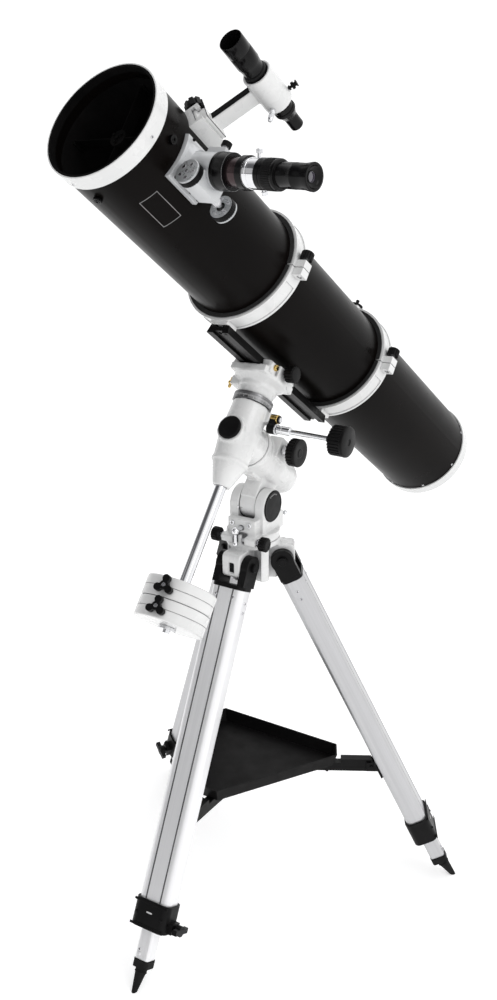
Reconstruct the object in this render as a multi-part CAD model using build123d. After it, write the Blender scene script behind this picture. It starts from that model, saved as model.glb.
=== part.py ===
from build123d import *
import math
import os

os.makedirs("parts", exist_ok=True)

# ---------------------------------------------------------------- driving dimensions (mm, degrees)
LEG_SPREAD = 25.64        # tilt of each leg from vertical
LEG_FOOT_R = 387.1        # where a leg's outer face would meet the floor
LEG_W, LEG_T = 62.0, 38.0  # leg extrusion, across and radial
LEG_TOP, LEG_END = 697.0, 120.0  # along the leg from the floor
SLIDER_W, SLIDER_T, SLIDER_Y = 27.0, 27.0, -17.0
SLIDER_TOP = 560.0
HINGE_S, HINGE_Y = 738.0, -19.0  # leg hinge, along the leg and in from its outer face
LUG_HALF = 17.5
HUB_TOP = 694.0
TRAY_Z = 247.0            # top of the tray floor
TRAY_R, TRAY_LIP, TRAY_HALF = 152.5, 22.0, 18.6
LATITUDE = 39.75          # height of the polar axis
PIVOT = (0.0, 6.5, 751.4)  # latitude pivot
CROSS = (0.0, -41.0, 881.4)  # where the polar and declination axes meet
DEC_REST = -7.41          # tube swung off the pole at rest
TUBE_UP = 235.75          # polar axis to tube axis
TUBE_R, TUBE_WALL = 91.0, 1.5
TUBE_Z0, TUBE_Z1 = -556.0, 507.0
RING_W = 30.0
RING_Z = (134.0, -177.0)  # middle of each tube ring
RING_R = 102.5
SHAFT_R = 9.5
WEIGHT_R, WEIGHT_H = 58.0, 34.0
FOCUS_Z, FOCUS_ANGLE = 406.5, 94.9
FINDER_ANGLE, FINDER_UP = 50.3, 204.3
SHIFT = (0.0, -107.285)      # brings the middle of the whole to the origin
FIT = 0.05                # radial clearance of a turned pin in its bore


def d2r(a):
    return math.radians(a)


def cz(r, a, b, x=0.0, y=0.0):
    return Pos(x, y, (a + b) / 2) * Cylinder(r, b - a)


def cx(r, a, b, y=0.0, z=0.0):
    return Pos((a + b) / 2, y, z) * Rot(0, 90, 0) * Cylinder(r, b - a)


def cy(r, a, b, x=0.0, z=0.0):
    return Pos(x, (a + b) / 2, z) * Rot(-90, 0, 0) * Cylinder(r, b - a)


def bx(x0, x1, y0, y1, z0, z1):
    return Pos((x0 + x1) / 2, (y0 + y1) / 2, (z0 + z1) / 2) * Box(x1 - x0, y1 - y0, z1 - z0)


def cone_z(r0, r1, a, b, x=0.0, y=0.0):
    return Pos(x, y, (a + b) / 2) * Cone(r0, r1, b - a)


def cone_y(r0, r1, a, b, x=0.0, z=0.0):
    return Pos(x, (a + b) / 2, z) * Rot(-90, 0, 0) * Cone(r0, r1, b - a)


def cone_x(r0, r1, a, b, y=0.0, z=0.0):
    return Pos((a + b) / 2, y, z) * Rot(0, 90, 0) * Cone(r0, r1, b - a)


def slab(w, h, r, a, b, x=0.0, y=0.0):
    return extrude(Pos(x, y, a) * RectangleRounded(w, h, r), b - a)


def ring_z(ro, ri, a, b):
    return cz(ro, a, b) - cz(ri, a - 1, b + 1)


def polar(r, a):
    return r * math.cos(d2r(a)), r * math.sin(d2r(a))


def knurled(r, h, n=18, depth=1.2):
    # a gripped knob about z, from 0 to h
    k = cz(r, 0, h)
    for i in range(n):
        x, y = polar(r + 0.6, i * 360 / n)
        k -= cz(depth + 0.6, -1, h + 1, x, y)
    return k


def one(s):
    s = s.solids() if hasattr(s, "solids") else s
    s = sorted(s, key=lambda q: -q.volume)
    return s[0]


NODES = {}


def put(name, *shapes):
    solids = []
    for s in shapes:
        solids += list(s.solids())
    NODES.setdefault(name, []).extend(solids)


# ---------------------------------------------------------------- frames
lat = d2r(LATITUDE)
RA = Location(Plane(origin=CROSS, x_dir=(1, 0, 0), z_dir=(0, -math.cos(lat), math.sin(lat))))
DEC = RA * Rot(0, DEC_REST, 0)
OT = DEC * Pos(0, TUBE_UP, 0)
fa = d2r(FOCUS_ANGLE)
FOC = OT * Location(Plane(origin=(0, 0, FOCUS_Z), x_dir=(0, 0, 1), z_dir=(math.sin(fa), math.cos(fa), 0)))
ga = d2r(FINDER_ANGLE)
# finder frame: z along the tube, y straight out from the tube through the finder
FND = OT * Rot(0, 0, -FINDER_ANGLE)


def leg_frame(a):
    b = d2r(LEG_SPREAD)
    c, s = math.cos(d2r(a)), math.sin(d2r(a))
    return Location(
        Plane(
            origin=(LEG_FOOT_R * c, LEG_FOOT_R * s, 0),
            x_dir=(s, -c, 0),
            z_dir=(-math.sin(b) * c, -math.sin(b) * s, math.cos(b)),
        )
    )


LEGS = {"front": -90.0, "right": 30.0, "rear": 150.0}
cb, sb = math.cos(d2r(LEG_SPREAD)), math.sin(d2r(LEG_SPREAD))
HINGE_R = LEG_FOOT_R + HINGE_Y * cb - HINGE_S * sb
HINGE_H = HINGE_S * cb + HINGE_Y * sb

# ---------------------------------------------------------------- tripod
# Cast hub: core with a knuckle for each leg, a turned top face and the azimuth spigot and peg.
hub = cz(44, 622, 684) + cz(47, 684, HUB_TOP) + cz(15, HUB_TOP, 706)
for a in LEGS.values():
    cut = bx(26, 62, -32.5, -LUG_HALF, 600, 684) + bx(26, 62, LUG_HALF, 32.5, 600, 684)
    hub -= Rot(0, 0, a) * cut
for a in LEGS.values():
    lug = bx(24, 72, -LUG_HALF, LUG_HALF, 640, 683)
    lug = fillet(lug.edges().filter_by(Axis.Y).sort_by(Axis.X)[-2:], 8)
    lug -= bx(68, 73, -6, 6, 648, 668)
    lug -= cy(5 + FIT, -40, 40, HINGE_R, HINGE_H)
    hub += Rot(0, 0, a) * lug
for a in LEGS.values():
    hub -= Rot(0, 0, a) * cy(5 + FIT, -LUG_HALF - 0.01, LUG_HALF + 0.01, HINGE_R, HINGE_H)
hub += cz(4, 690, 709, 0, -41)
hub -= cz(6, 615, 660)
put("tripod_hub", hub)

for leg, a in LEGS.items():
    L = leg_frame(a)
    tube = slab(LEG_W, LEG_T, 12, LEG_END, LEG_TOP, 0, -LEG_T / 2)
    for gx in (-0.22 * LEG_W, 0.24 * LEG_W):
        tube -= bx(gx - 1.6, gx + 1.6, -1.2, 1, LEG_END - 1, LEG_TOP + 1)
    tube -= slab(LEG_W - 6, LEG_T - 6, 9, LEG_END - 1, LEG_TOP + 1, 0, -LEG_T / 2)
    put("leg_tube_" + leg, L * one(tube))

    # hinge bracket: cap on the leg's end, plug inside it, two ears, with its bolt and two side screws
    br = slab(LEG_W + 1, LEG_T + 1, 12.5, LEG_TOP, LEG_TOP + 7, 0, -LEG_T / 2)
    br += slab(LEG_W - 7, LEG_T - 7, 8.5, LEG_TOP - 34, LEG_TOP + 0.01, 0, -LEG_T / 2)
    for sx in (-1, 1):
        ear = cx(20, 18.3, 31.3, HINGE_Y, HINGE_S) + bx(18.3, 31.3, -37.5, -0.5, LEG_TOP + 6, HINGE_S)
        if sx < 0:
            ear = Rot(0, 0, 0) * mirror(ear, Plane.YZ)
        br += ear
    br -= cx(5 + FIT, -50, 50, HINGE_Y, HINGE_S)
    bolt = cx(5, -31.3, 31.3, HINGE_Y, HINGE_S) + cx(9, 31.3, 37, HINGE_Y, HINGE_S) + cx(8, -36, -31.3, HINGE_Y, HINGE_S)
    put("leg_brackets", L * one(br), L * one(bolt))

    # clamp at the leg's lower end, with a collar around the slider
    cl = slab(LEG_W + 7, LEG_T + 7, 13, 111, 158, 0, -LEG_T / 2)
    cl -= slab(LEG_W + 0.2, LEG_T + 0.2, 12.1, LEG_END, 159, 0, -LEG_T / 2)
    cl -= slab(SLIDER_W + 0.8, SLIDER_T + 0.8, 5.4, 110, 121, 0, SLIDER_Y)
    cl += bx(-43, -34, -30, -8, 114, 132)
    cl -= cx(4.4, -44, -30, SLIDER_Y - 2, 123)
    put("leg_clamps", L * one(cl))

    sl = slab(SLIDER_W, SLIDER_T, 5, 58, SLIDER_TOP, 0, SLIDER_Y)
    sl -= slab(SLIDER_W - 5, SLIDER_T - 5, 3, 59, SLIDER_TOP + 1, 0, SLIDER_Y)
    # stop block riding inside the leg, and the stop screw near the foot
    stop = slab(LEG_W - 8, LEG_T - 8, 8, SLIDER_TOP - 18, SLIDER_TOP, 0, -LEG_T / 2)
    stop -= slab(SLIDER_W - 5, SLIDER_T - 5, 3, SLIDER_TOP - 20, SLIDER_TOP + 1, 0, SLIDER_Y)
    sl += stop
    sl += cy(3, SLIDER_Y + SLIDER_T / 2 - 0.5, SLIDER_Y + SLIDER_T / 2 + 2, 6, 66)
    put("leg_slider_" + leg, L * one(sl))

    # foot: socket block, then a cone to a small flat on the floor
    tip = (0.0, -7.4, 3.5)
    top = (0.0, SLIDER_Y, 58.0)
    v = Vector(*[p - q for p, q in zip(top, tip)])
    ln = v.length
    n = v.normalized()
    org = Vector(*tip) - n * 8
    cone = Plane(origin=org, x_dir=(1, 0, 0), z_dir=n).location * cone_z(3.5, 12.0, 0, ln + 2)
    foot = L * (slab(29, 29, 6, 44, 58, 0, SLIDER_Y)) + L * (cone & bx(-40, 40, -60, 40, -20, 52))
    foot = foot & (Pos(0, 0, 150) * Box(1400, 1400, 300))
    put("foot_" + leg, one(foot))

    # wing screw through the clamp's side
    ws = cx(4, -52, -31.5, SLIDER_Y - 2, 123) + cx(9, -56, -46, SLIDER_Y - 2, 123)
    ws += bx(-57, -49, SLIDER_Y - 20, SLIDER_Y + 16, 118.5, 127.5)
    put("leg_wing_" + leg, L * one(ws))

# Spreader: three arms from a middle boss to a bracket on the inside of each leg.
arms = cz(26, 229, 244.9)
ARM_END = 216.0
for a in LEGS.values():
    arm = bx(0, ARM_END, -8, 8, 229, 244.9) + bx(160, ARM_END, -8, 8, 229, 253)
    arm += cy(8, -8, 8, ARM_END, 240)
    arm -= cy(3 + FIT, -9, 9, ARM_END, 240)
    arm -= bx(34, 148, -5.5, 5.5, 228, 242.5)
    arms += Rot(0, 0, a) * arm
for a in LEGS.values():
    arms -= Rot(0, 0, a) * cz(2.5 + FIT, 220, 250, 135)
brs = []
for a in LEGS.values():
    L = leg_frame(a)
    s_mid = (240 + 0.0) / cb + 16
    plate = bx(-24, 24, -LEG_T - 3, -LEG_T - 0.02, s_mid - 14, s_mid + 16)
    ears = bx(8.4, 11.4, -LEG_T - 3, -LEG_T - 2.9, s_mid, s_mid + 1)
    p = Location(leg_frame(0).position)
    rb = Rot(0, 0, a) * (bx(ARM_END - 9, 236, 8.4, 11.4, 231, 249) + bx(ARM_END - 9, 236, -11.4, -8.4, 231, 249))
    rb = rb & (L * bx(-30, 30, -80, -LEG_T - 0.02, 150, 400))
    rb += L * plate
    rb += Rot(0, 0, a) * cy(3, -14, 14, ARM_END, 240)
    brs.append(rb)
put("spreader", one(arms), *brs)


# Accessory tray: pressed sheet, a truncated triangle with upturned lips.
def tri(r, half, z, w):
    pts = []
    for a in (30.0, 150.0, 270.0):
        c, s = math.cos(d2r(a)), math.sin(d2r(a))
        pts.append((r * c + half * s, r * s - half * c, z))
        pts.append((r * c - half * s, r * s + half * c, z))
    return pts


def tri_face(r, half, z):
    return make_face(Polyline(*tri(r, half, z, 0), close=True))


T_SHEET = 2.0
dish_out = loft([tri_face(TRAY_R - 8, TRAY_HALF - 3.0, TRAY_Z - T_SHEET), tri_face(TRAY_R, TRAY_HALF, TRAY_Z + TRAY_LIP)])
dish_in = loft([tri_face(TRAY_R - 8 - 1.9, TRAY_HALF - 3.3, TRAY_Z), tri_face(TRAY_R - 1.9, TRAY_HALF - 0.9, TRAY_Z + TRAY_LIP + 0.02)])
dish = dish_out - dish_in
for a in LEGS.values():
    dish -= Rot(0, 0, a) * cz(2.5 + FIT, 230, 260, 135)
# the lips are separate flanges, so a narrow slit stands at each end of each corner
for lo_p, hi_p in zip(tri(TRAY_R - 8.9, TRAY_HALF - 3.1, TRAY_Z + 1.5, 0), tri(TRAY_R - 0.9, TRAY_HALF - 0.9, TRAY_Z + TRAY_LIP, 0)):
    run = Vector(*hi_p) - Vector(*lo_p)
    dish -= Plane(origin=lo_p, z_dir=run.normalized()).location * cz(0.8, 0, run.length + 6)
screws = []
for a in LEGS.values():
    sc = cz(2.5, 223, TRAY_Z - 0.05, 135)
    screws.append(Rot(0, 0, a) * sc)
put("tray", one(dish), *screws)

# ---------------------------------------------------------------- azimuth base
px, py, pz = PIVOT
base = cz(46, HUB_TOP + 0.1, 708)
for sx in (-1, 1):
    x0, x1 = (16.2, 33.5) if sx > 0 else (-33.5, -16.2)
    ch = cx(29, x0, x1, py, pz) + bx(x0, x1, py - 29, py + 29, 700, pz)
    base += ch
base += bx(-33.5, 33.5, py + 29 - 0.1, py + 38, 703, 733)
base += bx(-27, 27, -38, py - 22.4, 703, 735)
base -= cz(15 + FIT, 690, 706.4)
base -= bx(-16.2, 16.2, py - 29.5, py + 29.0, 708, 790)
for sx in (-1, 1):
    base += bx(12, 34, -50, -32, 689 + 5.2, 707) if sx > 0 else bx(-34, -12, -50, -32, 689 + 5.2, 707)
base -= bx(-12, 12, -55, -31, 690, 711)
base -= cx(4.4, -40, 40, -41, 700.5)
BOLT_Z = PIVOT[2] - 31.6
base -= cy(4.4, -60, -20, 0, BOLT_Z) + cy(4.4, 20, 70, 0, BOLT_Z)
base -= cx(8 + FIT, -34, 34, py, pz)
pin = cx(8, -33.5, 33.5, py, pz) + cx(27, 33.5, 36.5, py, pz) + cx(20, -36.0, -33.5, py, pz)
plate_screws = [cy(3.2, -40.5, -38, sx * 17, 727) for sx in (-1, 1)]
# a relief behind each azimuth knob's head, which comes in as the base turns
base -= cx(13, 34.2, 50, -41, 700.5) + cx(13, -50, -34.2, -41, 700.5)
put("azimuth_base", one(base), one(pin), *plate_screws)

for sx, nm in ((-1, "left"), (1, "right")):
    k = cx(4, 4.7, 43, -41, 700.5)
    kn = Pos(41, -41, 700.5) * Rot(0, 90, 0) * knurled(12, 14, 14, 1.0)
    k = one(k + kn)
    if sx < 0:
        k = mirror(k, Plane.YZ)
    put("azimuth_knob_" + nm, k)

# latitude bolts: one from the north, one from the south, on the tail of the polar housing
TAIL = 6.0
nb = cy(4, -58, py - TAIL - 0.6 - 4, 0, BOLT_Z) + Pos(0, py - TAIL - 0.6 - 4, BOLT_Z) * Sphere(4)
nb += Pos(0, -56, BOLT_Z) * Sphere(6.5) + cz(2.5, BOLT_Z - 24, BOLT_Z + 8, 0, -56) + Pos(0, -56, BOLT_Z - 24) * Sphere(4)
put("latitude_bolt_north", one(nb))
sbt = cy(4, py + TAIL + 0.6 + 4, 64, 0, BOLT_Z) + Pos(0, py + TAIL + 0.6 + 4, BOLT_Z) * Sphere(4)
sbt += Pos(0, 62, BOLT_Z) * Sphere(6.5) + cx(2.5, -26, 26, 62, BOLT_Z) + Pos(26, 62, BOLT_Z) * Sphere(4) + Pos(-26, 62, BOLT_Z) * Sphere(4)
put("latitude_bolt_south", one(sbt))

# ---------------------------------------------------------------- polar housing (frame RA: x east, y along dec, z to the pole)
PV = (-69.6, -119.6)      # pivot in that frame
hs = cz(36, -110, -38) + cone_z(30, 36, -150, -109.9) + cz(30, -168, -149.9)
hs += Pos(0, 0, -168) * Sphere(30)
hs += cz(38, -50, -38)
hs &= bx(-60, 60, -60, 60, -192, 0)
neck = bx(-15.6, 15.6, PV[0], -10, PV[1] - 23, PV[1] + 30)
hs += neck
hs += bx(-11, 11, -40, -10, -98, -62)
for sx in (-1, 1):
    hs += bx(sx * 26 - 3, sx * 26 + 3, -20, 20, -140, -70) & cz(39, -142, -68)
hs += cx(26.8, -15.6, 15.6, PV[0], PV[1])
# worm box on the east side
hs += bx(20, 44, -2, 34, -90, -58)
hs -= cx(4.4, 30, 60, 16, -72)
hs = RA * hs
tail = bx(-8, 8, PIVOT[1] - TAIL, PIVOT[1] + TAIL, PIVOT[2] - 41, PIVOT[2] - 20)
hs += tail
hs -= cx(8.3, -40, 40, PIVOT[1], PIVOT[2])
hs -= RA * cz(16 + FIT, -60, -37)
put("polar_housing", one(hs))

# slow-motion knob in right ascension
rk = cx(4, 32, 62, 16, -72) + cx(9, 46, 56, 16, -72)
rk += Pos(60, 16, -72) * Rot(0, 90, 0) * knurled(24, 18, 20, 1.4)
put("ra_knob", RA * one(rk))

# ---------------------------------------------------------------- declination housing
dh = cz(36, -37.6, 0) + cz(24, -1, 36.5)
dh += cone_y(34, 31, -6, 57.5)
dh += cone_y(29.5, 34, -46, -5.9)
dh += cy(31.5, -50, -44) + cone_y(14.5, 29, -90, -49.9)
dh += cz(16, -58, -37)
for i in range(8):
    a = i * 45 + 22.5
    c, s = math.cos(d2r(a)), math.sin(d2r(a))
    dh -= Pos(27.5 * c, -74, 27.5 * s) * Rot(0, -a, 0) * Rot(0, 0, -24) * bx(-2, 8, -16, 14, -3.2, 3.2)
dh += bx(26, 40, 34, 52, -18, 0)
dh -= cy(SHAFT_R + FIT, -95, -40)
dh -= cy(12 + FIT, 40, 60)
dh = one(dh)
put("dec_housing", RA * dh)
put("polar_cap", RA * one(cz(19.7, 36.6, 40.0) + cone_z(19.7, 17.5, 39.9, 41.2) + cone_z(17.5, 9, 41.1, 42.2)))

circ = cy(33.5, 57.52, 70) - cy(14, 57, 71)
put("dec_circle", RA * one(circ))

# tangent bracket of the declination slow motion: brass bush, link and its bearing
lk = bx(40.1, 50, 22, 52, -17, -3)
lk = fillet(lk.edges().filter_by(Axis.X), 5)
lk += cx(9, 40.1, 56, 28, -10)
lk -= cx(4.35, 38, 60, 28, -10)
brass = cx(6.5, 50, 55, 45, -10)
put("dec_bracket", RA * one(lk), RA * brass)
dk = cx(4, 41, 164, 28, -10) + cx(7, 57, 82, 28, -10) + cx(6, 150, 162, 28, -10)
dk += Pos(160, 28, -10) * Rot(0, 90, 0) * knurled(25, 28, 22, 1.5)
put("dec_knob", RA * one(dk))

# ---------------------------------------------------------------- counterweights
put("weight_shaft", RA * (cy(SHAFT_R, -333, -44)), RA * (cy(14, -338, -333.01) + cy(6, -343, -337.9)))
W0 = -332.4
for nm, y0 in (("lower", W0), ("upper", W0 + WEIGHT_H + 0.5)):
    w = cy(WEIGHT_R, y0, y0 + WEIGHT_H)
    w = fillet(w.edges().filter_by(GeomType.CIRCLE), 2.5)
    w -= cy(WEIGHT_R + 1, y0 + WEIGHT_H / 2 - 0.5, y0 + WEIGHT_H / 2 + 0.5) - cy(WEIGHT_R - 1.2, y0, y0 + WEIGHT_H)
    w -= cy(SHAFT_R + 0.3, y0 - 1, y0 + WEIGHT_H + 1)
    ang = 8.0
    kf = Pos(0, y0 + WEIGHT_H / 2, 0) * Rot(0, ang, 0)
    w -= kf * cz(4.4, 0, 80)
    put("weight_" + nm, RA * one(w))
    kn = cz(4, SHAFT_R + 1.0, 66) + cz(7, 61, 70)
    for i in range(3):
        x, y = polar(11, 90 + i * 120)
        kn += cz(6, 61, 70, x, y)
        kn += Pos(0, 0, 65.5) * Rot(0, 0, 90 + i * 120) * Pos(6, 0, 0) * Box(12, 9, 9)
    put("weight_knob_" + nm, RA * (kf * one(kn)))

# ---------------------------------------------------------------- saddle (frame DEC: y along the declination axis, z along the tube)
BAR_Y = 114.9             # underside of the dovetail bar
BW0, BW1, BAR_H = 43.5, 36.0, 14.0
sd = cone_y(29, 31, 70.4, 84) + cy(33, 84, 92) + cone_y(33, 45, 92, 100) + cy(45, 100, 106)
sd += bx(-36, 36, 102, 114.6, -44, 44)
jaw = make_face(Polyline((22.15, 114.5), (19.3, 126.2), (36, 126.2), (40, 114.5), close=True))
jaws = extrude(Pos(0, 0, -38) * jaw, 76)
sd += jaws + mirror(jaws, Plane.YZ)
sd += bx(36, 44, 104, 126, -16, 16) + bx(36, 41, 106, 124, 20, 36)
sd = one(sd)
bar_gap = make_face(Polyline((22.05, 114.9), (18.3, 128.9), (-18.3, 128.9), (-22.05, 114.9), close=True))
sd -= extrude(Pos(0, 0, -60) * bar_gap, 120)
sd -= cx(4.35, 18, 60, 120, 0)
sd -= cx(3 + FIT, 24, 42, 116, 28)
sd += cy(12, 46, 72)
sd += bx(-44, -28, 84, 100, -8, 22)
sd -= cx(3.3, -46, -26, 92, 8)
put("saddle", DEC * one(sd), DEC * (cx(3, 26, 41.0, 116, 28) + cx(5, 41.0, 45, 116, 28)))
sk = cx(4, 21.6, 52, 120, 0) + cx(7, 45, 52, 120, 0)
sk += Pos(50, 120, 0) * Rot(0, 90, 0) * knurled(14, 17, 14, 1.2)
put("saddle_knob", DEC * one(sk))
dl = cx(3, -56, -31, 92, 8) + cy(2.5, 82, 102, -54, 8)
put("dec_lock", DEC * one(dl))

# ---------------------------------------------------------------- dovetail bar and tube rings (frame OT: y away from the saddle, z along the tube)
BY = BAR_Y - TUBE_UP      # underside of the bar
bar_face = make_face(Polyline((BW0 / 2, BY), (BW1 / 2, BY + BAR_H), (-BW1 / 2, BY + BAR_H), (-BW0 / 2, BY), close=True))
bar = extrude(Pos(0, 0, -178) * bar_face, 320)
bar -= bx(-9, 9, BY - 1, BY + 3.5, -179, 143)
bar -= bx(-7, 7, BY + BAR_H - 3.5, BY + BAR_H + 1, -179, 143)
bar_screws = []
for z in RING_Z:
    bar -= cy(3.2, BY, BY + BAR_H + 5, 0, z)
for z in (136.0, -172.0):
    bar_screws.append(cy(3.0, BY - 0.6, BY + 3.4, 13.5, z))
    bar -= cy(3.0 + FIT, BY - 1, BY + 3.4, 13.5, z)
put("dovetail_bar", OT * one(bar), *[OT * s for s in bar_screws])

SPLIT = 0.6
HINGE_X = -111.0
for nm, zc in (("front", RING_Z[0]), ("rear", RING_Z[1])):
    z0, z1 = zc - RING_W / 2, zc + RING_W / 2
    whole = ring_z(RING_R, TUBE_R + 0.4, z0, z1)
    lower = whole & bx(-130, 130, -130, -SPLIT, z0 - 1, z1 + 1)
    upper = whole & bx(-130, 130, SPLIT, 130, z0 - 1, z1 + 1)
    foot = bx(-17, 17, BY + BAR_H + 0.01, -95, z0 + 2, z1 - 2)
    lower += foot - cz(TUBE_R + 4, z0, z1)
    lower += bx(100, 119, -13, -SPLIT, zc - 9, zc + 9)
    upper += bx(100, 119, SPLIT, 13, zc - 9, zc + 9)
    # recessed panels in the outer face
    for part_a, part_b, which in ((-80, -15, "l"), (-165, -106, "l"), (15, 78, "u"), (102, 165, "u")):
        sector = ring_z(RING_R + 2, RING_R - 1.6, z0 + 4, z1 - 4)
        mid = (part_a + part_b) / 2
        wdg = Rot(0, 0, mid) * bx(60, 130, -130, 130, z0, z1)
        half = (part_b - part_a) / 2
        c1 = Rot(0, 0, mid + half) * bx(-150, 150, 0, 150, z0 - 2, z1 + 2)
        c2 = Rot(0, 0, mid - half) * bx(-150, 150, -150, 0, z0 - 2, z1 + 2)
        pan = (sector & wdg) - c1 - c2
        if which == "l":
            lower -= pan
        else:
            upper -= pan
    # hinge knuckles: one on the lower half between two on the upper half
    hk = cz(6, zc - 5.0, zc + 5.0, HINGE_X, 0) + bx(HINGE_X, -99, -5.9, -SPLIT, zc - 5, zc + 5)
    uk = cz(6, z0 + 2, zc - 5.4, HINGE_X, 0) + cz(6, zc + 5.4, z1 - 2, HINGE_X, 0)
    uk += bx(HINGE_X, -99, SPLIT, 5.9, z0 + 2, zc - 5.4) + bx(HINGE_X, -99, SPLIT, 5.9, zc + 5.4, z1 - 2)
    gap_l = cz(6.5, z0 - 1, zc - 5.2, HINGE_X, 0) + cz(6.5, zc + 5.2, z1 + 1, HINGE_X, 0)
    lower = (lower - gap_l) + hk
    lower -= cz(2 + FIT, z0 - 1, z1 + 1, HINGE_X, 0)
    upper = (upper - cz(6.5, zc - 5.2, zc + 5.2, HINGE_X, 0)) + uk
    upper -= cz(2.3, z0 - 1, z1 + 1, HINGE_X, 0)
    lower -= cz(TUBE_R + 0.4, z0 - 2, z1 + 2)
    lower -= cy(4.4, -20, 0, 111, zc)
    upper -= cy(3.3, 0, 20, 111, zc)
    if nm == "rear":
        upper += bx(-11, 11, 98, 109, zc - 11, zc + 11) - cz(TUBE_R + 2, z0, z1)
        upper -= cy(3.2 + FIT, 100, 115, 0, zc)
    put("tube_ring_lowers", OT * one(lower), OT * cz(2, z0 + 2, z1 - 2, HINGE_X, 0))
    put("tube_ring_upper_" + nm, OT * one(upper))
    kb = cy(3, -12, 20, 111, zc) + cy(5.5, 13.2, 18, 111, zc)
    kb += Pos(111, 17.9, zc) * Rot(-90, 0, 0) * knurled(10, 15, 12, 1.2)
    put("ring_knob_" + nm, OT * one(kb))
zc = RING_Z[1]
stud = cy(3.175, 101, 124, 0, zc) + Pos(0, 109.2, zc) * Rot(-90, 0, 0) * knurled(12.5, 5, 20, 0.9)
put("camera_stud", OT * one(stud))

# ---------------------------------------------------------------- optical tube
body = ring_z(TUBE_R, TUBE_R - TUBE_WALL, TUBE_Z0, TUBE_Z1)
body = OT * body
body -= FOC * cz(22, 60, 120)
for a in (0, 90, 180, 270):
    hole = Rot(0, 0, a) * cx(2.5 + FIT, 80, 100, 0, 463)
    body -= OT * hole
put("tube", one(body))
MOUTH_R = 88.3           # bore of the front ring, whose spigot sits inside the tube
fr = ring_z(93.4, TUBE_R + 0.02, 487, 513) + ring_z(93.4, MOUTH_R, 507.05, 513) + ring_z(TUBE_R - TUBE_WALL - 0.2, MOUTH_R, 501, 507.1)
put("front_ring", OT * one(fr))

# rear ring with the mirror cell, its three springs-and-knob sets
rr = ring_z(93.4, TUBE_R + 0.02, -562, -542) + ring_z(93.4, 84, -562, -556.05)
rr = one(rr)
cell = cz(83.9, -561, -553)
for i in range(3):
    x, y = polar(52, 30 + i * 120)
    cell -= cz(21, -563, -550, x, y)
cell -= cz(3.2, -563, -550)
cell_knobs = []
for i in range(3):
    x, y = polar(66, 90 + i * 120)
    cell -= cz(3 + FIT, -563, -550, x, y)
    kk = cz(3, -561, -541, x, y) + cz(7, -568, -561.01, x, y)
    cell_knobs.append(kk)
carrier = cz(80, -541, -536)
for i in range(3):
    x, y = polar(40, 30 + i * 120)
    carrier -= cz(24, -545, -530, x, y)
put("mirror_cell", OT * rr, OT * one(cell), OT * one(carrier), *[OT * one(k) for k in cell_knobs])
pm = cz(76, -536, -514)
pm -= Pos(0, 0, -515.45 + 2200) * Sphere(2200)
put("primary_mirror", OT * one(pm))

# spider: four vanes, hub, holder of the flat, and the screws outside the tube
sp = cz(13, 452, 474) + cz(5, 436, 453)
for a in (0, 90, 180, 270):
    v = bx(10, TUBE_R - TUBE_WALL - 0.03, -0.6, 0.6, 453, 473) + bx(TUBE_R - TUBE_WALL - 3, TUBE_R - TUBE_WALL - 0.6, -5, 5, 453, 473)
    v += cx(2.5, 86, 93, 0, 463) + cx(6, TUBE_R + 0.6, TUBE_R + 5.5, 0, 463)
    sp += Rot(0, 0, a) * v
for i in range(3):
    x, y = polar(8, 30 + i * 120)
    sp += cz(2, 473, 478, x, y)
sp += cz(3, 473, 477)
nrm = Vector(math.sin(fa), math.cos(fa), -1.0).normalized()
mp = Plane(origin=(0, 0, FOCUS_Z), z_dir=nrm, x_dir=(math.cos(fa), -math.sin(fa), 0))
behind = mp.location * Pos(0, 0, -60 - 5.02) * Box(200, 200, 120)
sheet = mp.location * Pos(0, 0, -2.5) * Box(200, 200, 5)
sp += cz(20, 375, 438) & behind
put("spider", OT * one(sp))
put("secondary_mirror", OT * one(cz(20.5, 370, 445) & sheet))

# ---------------------------------------------------------------- focuser (frame FOC: z out of the tube, x along the tube)
fb = (bx(-34, 34, -34, 34, 70, 100)) & Location(Plane.YZ) * cz(98, -60, 60)
fb = bx(-34, 34, -34, 34, 70, 100) & cx(98, -60, 60)
fb -= cx(TUBE_R + 0.02, -60, 60)
neck_a = loft([Pos(0, 0, 92) * RectangleRounded(60, 60, 14), Pos(0, 0, 106) * RectangleRounded(48, 50, 20)])
fb += neck_a - cx(TUBE_R + 2, -60, 60)
fb += cz(25, 100, 144.5)
fb += bx(-24, 24, 14, 36, 106, 140)
fb += bx(-9, 9, -32, -14, 112, 143)
fb -= cx(4 + FIT, -40, 40, 26, 124)
fb -= bx(-8, 8, 17, 33.5, 116, 132)
fb -= cz(20.3, 70, 150)
fb -= cy(3.3, -40, -16, 0, 132)
fb = one(fb)
collar = cz(25.5, 144.52, 168) - cz(20.3, 140, 170)
put("focuser_body", FOC * fb, FOC * one(collar))
# drawtube with rack, adapter at its end
dt = cz(20, 98, 188) - cz(17.6, 97, 189)
dt += bx(-3.5, 3.5, 18.5, 20.0, 100, 160)
dt = one(dt)
put("drawtube", FOC * dt)
ad = cz(21, 188.02, 226) - cz(16.0, 180, 230)
ad += cz(17.55, 180, 190) - cz(16.0, 170, 195)
asc = Pos(0, 0, 212) * Rot(0, 0, -55) * (cx(2.5, 17.0, 27, 0, 0) + cx(4.5, 26, 32, 0, 0))
ad -= Pos(0, 0, 212) * Rot(0, 0, -55) * cx(2.5 + FIT, 10, 30, 0, 0)
put("eyepiece_adapter", FOC * one(ad), FOC * one(asc))
ep = cz(15.7, 198, 227) + cz(16.6, 226.3, 227) + cz(21.2, 226.4, 252) + cz(17.3, 251, 297) + cone_z(17.3, 18.6, 296, 306)
ep = ep - cone_z(5.5, 14.5, 300, 306.5) - cz(14, 190, 222)
put("eyepiece", FOC * one(ep))
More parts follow.
